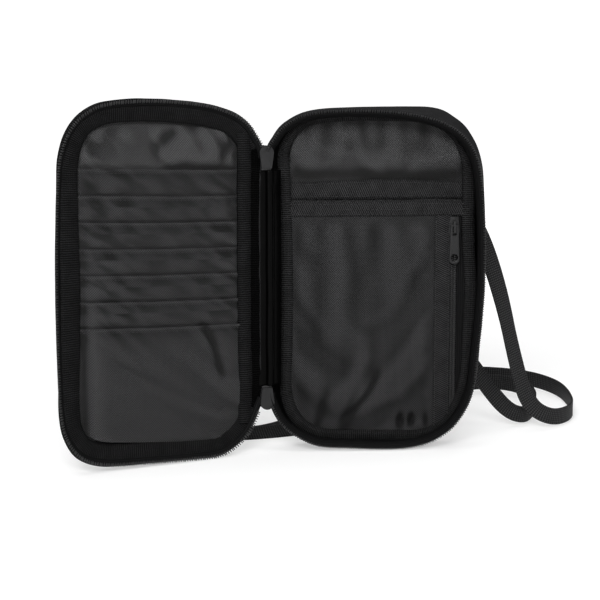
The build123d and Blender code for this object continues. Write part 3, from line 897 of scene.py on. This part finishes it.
def crumple(left, right, foot, top, spread, bend, seams=(), limit=2.0, seed=0.0):
    """How slack cloth sewn down round its edges wrinkles, as depth(across, height) in millimetres.

    spread is how much larger the cloth is than its place, bend its stiffness, and seams the heights
    where it is sewn down. The cloth is simulated enlarged, because small cloth needs tiny steps.
    """
    enlarge = 0.02
    columns, rows = int((right - left) / 2.0) + 1, int((top - foot) / 2.0) + 1
    across, heights = np.linspace(left, right, columns), np.linspace(foot, top, rows)
    flat = np.zeros((rows, columns, 3))
    for i, height in enumerate(heights):
        for j, x in enumerate(across):
            uneven = 0.5 * ripple(x, height, 9.0, seed) + 0.5 * ripple(x, height, 22.0, seed + 5)
            flat[i, j] = (x, uneven, height)
    index = np.arange(rows * columns).reshape(rows, columns)
    mesh = bpy.data.meshes.new("crumple")
    mesh.from_pydata((flat.reshape(-1, 3) * enlarge).tolist(), [], squares(rows, columns).tolist())
    cloth = add_object("crumple", mesh)
    sewn = set(index[0]) | set(index[-1]) | set(index[:, 0]) | set(index[:, -1])
    for seam in seams:
        sewn |= set(index[int(np.argmin(np.abs(heights - seam)))])
    pins = cloth.vertex_groups.new(name="sewn")
    pins.add([int(k) for k in sewn], 1.0, "REPLACE")
    slack = cloth.modifiers.new("slack", "CLOTH")
    slack.settings.quality = 5
    slack.settings.mass = 0.3
    slack.settings.tension_stiffness = 12
    slack.settings.compression_stiffness = 12
    slack.settings.shear_stiffness = 6
    slack.settings.bending_stiffness = bend
    slack.settings.shrink_min = -spread
    slack.settings.vertex_group_mass = "sewn"
    slack.settings.effector_weights.gravity = 0.4
    slack.collision_settings.use_collision = False
    slack.point_cache.frame_end = 24
    for step in range(1, 25):
        bpy.context.scene.frame_set(step)
    settled = cloth.evaluated_get(bpy.context.evaluated_depsgraph_get()).to_mesh()
    places = np.array([vertex.co for vertex in settled.vertices]) / enlarge
    depth = np.clip(places[:, 1].reshape(rows, columns), -limit, limit)
    bpy.data.objects.remove(cloth)
    bpy.data.meshes.remove(mesh)
    bpy.context.scene.frame_set(1)

    def lie(x, height):
        u = min(max((x - left) / (right - left), 0), 0.9999) * (columns - 1)
        v = min(max((height - foot) / (top - foot), 0), 0.9999) * (rows - 1)
        i, j = int(v), int(u)
        a = depth[i, j] * (1 - (u - j)) + depth[i, j + 1] * (u - j)
        b = depth[i + 1, j] * (1 - (u - j)) + depth[i + 1, j + 1] * (u - j)
        return a * (1 - (v - i)) + b * (v - i)

    return lie


def crease(across, height, start, end, width):
    """1 along a line between two places and 0 away from it, fading towards its ends."""
    ahead = np.array(end, float) - np.array(start, float)
    length = np.linalg.norm(ahead)
    here = np.array((across, height)) - np.array(start)
    along = float(np.dot(here, ahead)) / length ** 2
    aside = (here[0] * ahead[1] - here[1] * ahead[0]) / length
    bend = 3.0 * math.sin(math.pi * min(max(along, 0), 1))
    fade = smooth_step(along / 0.25) * smooth_step((1 - along) / 0.25)
    return fade * math.exp(-((aside - bend) / width) ** 2)


def folds(across, height, lines):
    """The creases of a cloth added up; each is (rise, start, end, width)."""
    return sum(rise * crease(across, height, start, end, width) for rise, start, end, width in lines)


HEM_1 = span("sleeve_hem", 2)
HEM_2 = span("mesh_hem", 2)
CASE_WRINKLES = crumple(4, 116, 146, 196, 0.045, 2.0, seed=1.0, limit=2.2)


CASE_FOLDS = [(0.8, (98, 150), (112, 166), 3.0), (-0.5, (20, 176), (70, 172), 3.0)]


def lining_depth(across, height):
    """How far behind the rim the lining of the case lies."""
    edge = min(across - 3, WIDTH - 3 - across, HEIGHT - 3 - height, height - HEM_1[1] - 1.0)
    loose = smooth_step(edge / 8.0)
    lean = 2.5 * math.sin(across / 24.0)
    bulge = 2.4 * smooth_step((height - 156 + lean) / 13) * smooth_step((195 - height + lean) / 30)
    fold = folds(across, height, CASE_FOLDS)
    return min(15.6 + loose * (0.45 * CASE_WRINKLES(across, height) - bulge + fold), 16.9)


# ---- pockets in the case --------------------------------------------------------------------------
SLEEVE_DEPTH = span("passport_sleeve", 1)[0] - RIM
MESH_DEPTH = span("mesh_panel", 1)[0] - RIM
BORDER = [x - CASE_LEFT - 1.5 for x in span("zip_border_tape", 0)]
ZIP_ACROSS = sum(span("pocket_zip_chain", 0)) / 2 - CASE_LEFT
ZIP_TOP = span("pocket_zip_chain", 2)[1]
ZIP_FOOT = span("pocket_zip_chain", 2)[0]
POCKET_PITCH = 1.14
POCKET_LEFT = 8.0
POCKET_RIGHT = WIDTH - 9.0


def hem_bow(across):
    """The sleeve's hem bows up a little in the middle."""
    return 1.6 * math.sin(math.pi * (across - POCKET_LEFT) / (POCKET_RIGHT - POCKET_LEFT)) ** 2


NET_WRINKLES = crumple(POCKET_LEFT - 4, BORDER[0], 4, HEM_2[0], 0.03, 4.0, seed=4.0, limit=1.6)


NET_FOLDS = [(1.4, (36, 12), (62, 48), 2.2), (-1.0, (30, 20), (54, 62), 4.5)]
NET_GATHERS = (73, 79.5, 88.5)


def net_depth(across, height):
    """How far behind the rim the mesh pocket lies."""
    share = (across - POCKET_LEFT) / (BORDER[0] - POCKET_LEFT)
    up = height / HEM_2[0]
    belly = -1.3 * math.sin(math.pi * min(max(share, 0), 1)) * math.sin(math.pi * min(max(up, 0), 1)) ** 0.6
    draw = 0.0
    for place, width in ((40, 4.0), (24, 3.0)):
        draw += 1.2 * math.exp(-((across - place - 0.25 * (height - 12)) / width) ** 2) \
            * smooth_step((46 - height) / 34)
    fold = folds(across, height, NET_FOLDS)
    soft = 0.4 * NET_WRINKLES(across, height) + 0.6 * ripple(across * 1.6, height * 0.35, 16.0, 5.0)
    for place in NET_GATHERS:
        soft += 2.8 * math.exp(-((across - place) / 2.0) ** 2 - ((height - 14.5) / 4.0) ** 2)
    edge = smooth_step(min(share, 1 - share) * 12) * smooth_step((1 - up) * 14)
    return MESH_DEPTH - 0.6 + belly + edge * (draw + fold + soft)


def hem(name, heights, depth, nodes, rows_of_stitch):
    low, high = heights

    def lie(across, height):
        share = (height - low) / (high - low)
        return depth - 0.5 - 0.5 * math.sin(math.pi * share) + 0.25 * ripple(across, height, 14.0, depth)

    bow = 1.0 if low > HEM_2[1] else 0.0

    def sag(across, height):
        return across, height + bow * hem_bow(across) * (height - low) / (high - low)

    strip = sheet(name, "case", POCKET_LEFT - 4, POCKET_RIGHT + 2, low, high, lie, HEM, 0.9, 1.2, 2.0, sag)
    outfit(strip, "case", *nodes, slot="grosgrain")
    for number, height in enumerate(rows_of_stitch):
        line = [(across, lie(across, height) - 0.75, sag(across, height)[1])
                for across in np.linspace(POCKET_LEFT - 3, POCKET_RIGHT, 80)]
        sewn = stitches(f"{name}_stitching_{number + 1}", to_world(line, "case"), (0, -1, 0), THREAD,
                        1.7, 0.8)
        outfit(sewn, "case", slot="grosgrain")


def pockets():
    def sleeve_lie(across, height):
        return SLEEVE_DEPTH + 0.4 * ripple(across, height, 20.0, 6.0)

    sleeve = sheet("passport_sleeve_cloth", "case", 3, WIDTH - 3, 2.5, HEM_1[0] + 1.0, sleeve_lie, LINING,
                   0.4, 2.4, 3.0)
    outfit(sleeve, "case", "passport_sleeve", slot="lining_fabric")
    hem("sleeve_hem_tape", HEM_1, SLEEVE_DEPTH, ["sleeve_hem"], (HEM_1[0] + 1.4, HEM_1[1] - 1.4))
    hem("mesh_hem_tape", HEM_2, MESH_DEPTH, ["mesh_hem"], (HEM_2[0] + 1.3, HEM_2[0] + 4.0, HEM_2[1] - 1.3))

    mesh = sheet("mesh_pocket_net", "case", 3, BORDER[0] + 1.0, 2.5, HEM_2[0] + 0.6, net_depth, NET,
                 0.35, 1.1, 3.0)
    outfit(mesh, "case", "mesh_panel", slot="mesh")
    width, height = BORDER[0] - 3, HEM_2[0] - 2.5

    def border_lie(across, height):
        share = (across - BORDER[0]) / (ZIP_ACROSS - 2.0 - BORDER[0])
        return MESH_DEPTH - 0.8 - 0.5 * math.sin(math.pi * min(max(share, 0), 1)) \
            + 0.3 * ripple(across * 0.5, height, 18.0, 7.0)

    border = sheet("zip_border_band", "case", BORDER[0], ZIP_ACROSS - 1.6, 2.5, HEM_2[0] + 0.5, border_lie,
                   HEM, 0.7, 1.0, 3.0)
    swap_weave(border)
    outfit(border, "case", "zip_border_tape", slot="grosgrain")
    for place in (BORDER[0] + 0.9, ZIP_ACROSS - 2.7):
        line = [(place, border_lie(place, height) - 0.65, height)
                for height in np.linspace(8, HEM_2[0] - 0.5, 120)]
        sewn = stitches(f"border_stitching_{place:.0f}", to_world(line, "case"), (0, -1, 0), THREAD, 1.7, 0.8)
        outfit(sewn, "case", slot="grosgrain")

    tapes = sheet("pocket_zip_tape_cloth", "case", ZIP_ACROSS + 1.4, POCKET_RIGHT + 2, 24, HEM_2[0] + 0.5,
                  lambda across, height: MESH_DEPTH + 0.1, TAPE, 0.5, 1.2, 3.0)
    swap_weave(tapes)
    outfit(tapes, "case", "pocket_zip_tapes", slot="zip_tape")
    places = []
    for k in range(int((ZIP_TOP - ZIP_FOOT) / POCKET_PITCH)):
        height = ZIP_FOOT + POCKET_PITCH / 2 + k * POCKET_PITCH
        for side, lift in ((-1, 0.0), (1, 0.5)):
            centre = (ZIP_ACROSS + side * 0.85, MESH_DEPTH - 0.35, height + lift)
            places.append((to_world([centre], "case")[0], (1, 0, 0.22 * side), (0, 0, 1)))
    row = beads("pocket_zip_teeth", places, COIL, (1.9, 0.82, 1.2))
    outfit(row, "case", "pocket_zip_chain", slot="coil")


def swap_weave(piece):
    """Turn a cloth's weave a quarter, so that its ribs run the other way."""
    layer = piece.data.uv_layers["weave"].data
    flat = np.zeros(len(layer) * 2, np.float32)
    layer.foreach_get("uv", flat)
    layer.foreach_set("uv", flat.reshape(-1, 2)[:, ::-1].ravel())


# ---- lid ------------------------------------------------------------------------------------------
CARD_FAR = WIDTH - 14.0
CARD_NEAR = 10.5
CARD_FOOT = span("card_pocket_7", 2)[0]
LIPS = [span(f"card_pocket_{number}", 2)[1] for number in range(1, 8)]
CARD_STEP = 0.5
CARD_DEPTH = LID_DEPTH - 3.0
LID_WRINKLES = crumple(4, 112, LIPS[0] - 10, 198, 0.06, 1.0, seed=2.0, limit=1.8)
CARD_SEAMS = [lip - 13.5 for lip in LIPS[:-1]]
CARD_WRINKLES = crumple(CARD_NEAR - 3, CARD_FAR + 2, CARD_FOOT - 4, LIPS[0] + 4, 0.05, 0.8, CARD_SEAMS,
                        1.1, 3.0)


CARD_TILT = 4.4                         # rise of a card pocket's lip over its width
CARD_TILT_STEP = 0.35                   # and how much more each lower pocket lies above level


def slant(across, number):
    """How far the lips of the card pockets are sewn above level: more away from the spine and lower down."""
    return CARD_TILT * ((across - CARD_NEAR) / (CARD_FAR - CARD_NEAR) - 0.5) + CARD_TILT_STEP * number + 0.2


def card_wave(across, height):
    """The unevenness that all card pockets share, so that they lie on each other."""
    nearest = min(CARD_SEAMS, key=lambda seam: abs(seam - height))
    leaning = across - 1.1 * (height - nearest)
    slack = 0.15 + 0.3 * smooth_step(abs(across - 52) / 40.0)
    hollow = sum(0.5 * math.exp(-((height - lip - 0.9) / 0.8) ** 2) for lip in LIPS)
    if height < LIPS[-1] - 4:
        slack *= 0.6
    fold = 1.3 * crease(across, height, (37, 84), (20, 40), 2.6)
    return slack * CARD_WRINKLES(leaning, height) + 0.3 * ripple(across, height, 30.0, 12.0) + hollow + fold


LID_FOLDS = [(1.6, (62, 172), (42, 188), 4.0), (1.4, (88, 184), (70, 192), 3.5),
             (1.5, (100, 168), (82, 178), 5.0), (1.2, (34, 192), (20, 176), 2.0),
             (-1.2, (30, 192), (15, 178), 2.0), (1.0, (30, 190), (46, 192), 3.0)]


def lid_lining_depth(across, height):
    """How far behind the rim the lining of the lid lies."""
    top = smooth_step((height - LIPS[0] - 0.5) / 5.0)
    inside = smooth_step(min(191.5 - height, across - 9, 106 - across) / 7.0)
    loose = inside * (LID_WRINKLES(across, height) * 0.7 + folds(across, height, LID_FOLDS))
    return min(CARD_DEPTH + (1 - top) * card_wave(across, height) + top * (loose - 1.3 * inside), 5.3)


def lid():
    wall = band("lid_shell_wall", "lid",
                [(1.5, -0.2), (1.2, 1.0), (1.9, 3.0), (3.5, 5.2), (5.3, 7.0), (7.2, 7.9), (9.0, 8.1)],
                SHELL, 0.9, wobble=0.2)
    outfit(wall, "lid", "lid_wall", slot="shell_fabric")
    panel = shell_panel("lid_shell_panel", "lid", 7.5, 7.5, 0.5, SHELL)
    outfit(panel, "lid", "lid_cover", slot="shell_fabric")
    seam = stitches("lid_front_seam", rim_path(10.0, 8.9, "lid"), (0, 1, 0), THREAD)
    outfit(seam, "lid", slot="shell_fabric")
    outfit(board("lid_board"), "lid", "lid_board", slot="board")

    def follow_pockets(across, height):
        return across, height + slant(across, 0) * smooth_step((192 - height) / 20)

    lining = sheet("lid_back_lining", "lid", 2, WIDTH - 6, 6, HEIGHT - 6, lid_lining_depth, LINING,
                   0.4, 1.2, 6.0, follow_pockets)
    outfit(lining, "lid", "lid_lining", slot="lining_fabric")
    zip_edge("lid", "lid", [(3.2, 0.6), (2.3, -0.4), (1.6, -1.1), (0.9, -1.7)], math.radians(30))
    profile = [(2.4, 1.6), (3.0, 0.4), (5.6, 0.2), (9.6, 1.0), (13.2, 1.8), (14.4, 2.6), (14.3, 4.4)]
    # Beside the spine the binding takes the near-black copy of its tape, as painted shade.
    for name, cloth, start, end in (("lid_binding_tape", GROSGRAIN, NEAR_TAPE, 1 - NEAR_TAPE),
                                    ("shaded_binding_upper", SHADED_GROSGRAIN, 0.0, NEAR_TAPE),
                                    ("shaded_binding_lower", SHADED_GROSGRAIN, 1 - NEAR_TAPE, 1.0)):
        ribbed = band(name, "lid", profile, cloth, 0.7, start, end, 0.3, lid_binding_drift)
        outfit(ribbed, "lid", "lid_binding", slot="grosgrain")

    for number, lip in enumerate(LIPS):
        last = number == len(LIPS) - 1
        foot = CARD_FOOT - 7 if last else LIPS[number + 1] - 3.0
        base = CARD_DEPTH - CARD_STEP * (number + 1)

        def lie(across, height, base=base, lip=lip):
            lift = 0.9 * smooth_step(1 - (lip - height) / 2.6)
            under = smooth_step((across - CARD_FAR + 8) / 5.0) * max(3.6 - base, 0)
            return base - lift + card_wave(across, height) + under

        def hang(across, height, lip=lip, number=number):
            share = (across - CARD_NEAR) / (CARD_FAR - CARD_NEAR)
            rise = slant(across, number) - 0.5 * math.sin(math.pi * share)
            return across, height + rise + 0.25 * ripple(across, lip, 12.0, 14.0)

        pocket = sheet(f"card_pocket_cloth_{number + 1}", "lid", CARD_NEAR - 3, CARD_FAR + 2, foot, lip, lie,
                       CARD, 0.45, 1.1, 9.0, hang)
        outfit(pocket, "lid", f"card_pocket_{number + 1}", slot="lining_fabric")
        line = []
        for across in np.linspace(CARD_NEAR, CARD_FAR, 90):
            moved = hang(across, lip - 2.3)
            line.append((across, lie(across, lip - 2.3) - 0.5, moved[1]))
        sewn = stitches(f"card_stitching_{number + 1}", to_world(line, "lid"), (0, -1, 0), THREAD,
                        1.5, 0.9, 0.4)
        outfit(sewn, "lid", slot="lining_fabric")

    low, high = span("card_binding", 2)
    edging = []
    for height in np.linspace(low - 6, high + 6, 160):
        sway = 0.8 * ripple(height, 0, 30.0, 20.0)
        edging.append([(across + sway, depth, height) for across, depth in (
            (3.2, 3.4), (2.8, 1.6), (3.8, 0.4), (6.6, -0.2), (9.6, 0.3), (10.8, 1.4), (10.6, 2.6))])
    edging = np.array(edging)
    run = walk(edging[0])
    uvs = np.stack([np.broadcast_to(edging[:, :, 2], edging.shape[:2]),
                    np.broadcast_to(run, edging.shape[:2])], -1)
    piece = grid("card_binding_tape", to_world(edging, "lid"), GROSGRAIN, uvs, 0.7)
    outfit(piece, "lid", "card_binding", slot="grosgrain")


# ---- spine ----------------------------------------------------------------------------------------
def spine_cloth(name, material, columns, low, high, joint):
    """Half of the spine's cloth, from its middle to a half of the organiser, shaped round a fold line."""
    out, uvs = [], []
    for height in np.linspace(low, high, 120):
        line = []
        for x, y in columns:
            sway = 0.35 * ripple(height, x * 3, 16.0, 30.0)
            line.append((x + sway, y + sway, height))
        out.append(line)
        uvs.append([(k * 1.5, height) for k in range(len(columns))])
    piece = grid(name, np.array(out), material, uvs, 0.6)
    if joint == "spine_fold":
        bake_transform(piece)
    else:
        edge = to_world([(0.5, 0, 101)], "lid")[0]
        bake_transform(piece)
    return piece


def spine():
    low, high = span("spine_cover", 2)
    middle = (FOLD_A + FOLD_B)[:2] / 2
    a, b = FOLD_A[:2], FOLD_B[:2]
    lid_edge = to_world([(1.5, 2.5, 101), (-1.0, 2.2, 101), (0.5, 4.0, 101)], "lid")[:, :2]
    inside_right = [middle + (0, 0.2), middle + (1.2, -0.9), middle + (2.4, -1.0), a + (0.2, 0.2),
                    (CASE_LEFT - 1.0, RIM + 2.0), (CASE_LEFT + 2.5, RIM + 3.4)]
    inside_left = [middle + (0, 0.2), middle + (-1.0, 0.4), middle + (-2.2, -0.6), b + (-0.6, 0.0),
                   lid_edge[1], lid_edge[0]]
    outside_right = [middle + (0, 0.9), a + (0, 1.2), (CASE_LEFT - 0.4, RIM + 2.4),
                     (CASE_LEFT - 0.6, RIM + 5.0)]
    outside_left = [middle + (0, 0.9), b + (0, 1.2), lid_edge[1] + (0.6, 0.4), lid_edge[2] + (0.5, 0.4)]
    for kind, material, node, slot, right, left in (
            ("satin", BLACK_SATIN_AND_SHADE, "spine_lining", "lining_fabric", inside_right, inside_left),
            ("cloth", SHELL, "spine_cover", "shell_fabric", outside_right, outside_left)):
        for name, columns, joint in ((f"spine_{kind}_right", right, "spine_fold"),
                                     (f"spine_{kind}_left", left, "lid_fold")):
            piece = spine_cloth(name, material, columns, low, high, joint)
            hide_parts(node)


# ---- metal and plastic pieces ---------------------------------------------------------------------
def polish(node, body, material, slot, round_off=0.22):
    """A CAD piece with its edges rounded off."""
    mesh = frame["nodes"][node].data.copy()
    mesh.materials.clear()
    mesh.materials.append(material)
    piece = add_object(f"{node}_finished", mesh)
    work = bmesh.new()
    work.from_mesh(mesh)
    bmesh.ops.remove_doubles(work, verts=work.verts, dist=1e-6)
    work.to_mesh(mesh)
    work.free()
    edges = piece.modifiers.new("edges", "BEVEL")
    edges.width = round_off * MM
    edges.segments = 2
    edges.limit_method = "ANGLE"
    edges.angle_limit = math.radians(40)
    mesh.shade_smooth()
    outfit(piece, body, node, slot=slot)
    return piece


case()
pockets()
lid()
spine()
for node, body in (("upper_slider", "spine"), ("lower_slider", "spine"), ("upper_pull", "upper_pull"),
                   ("lower_pull", "lower_pull"), ("pocket_slider", "pocket_slider"),
                   ("pocket_pull", "pocket_pull"), ("pocket_zip_stop", "case")):
    polish(node, body, ENAMEL, "black_metal")
for node in ("upper_zip_end", "lower_zip_end"):
    polish(node, "spine", COIL, "coil")
for node in ("strap_anchor_right", "strap_anchor_left"):
    polish(node, "case", WEBBING, "webbing", 0.8)
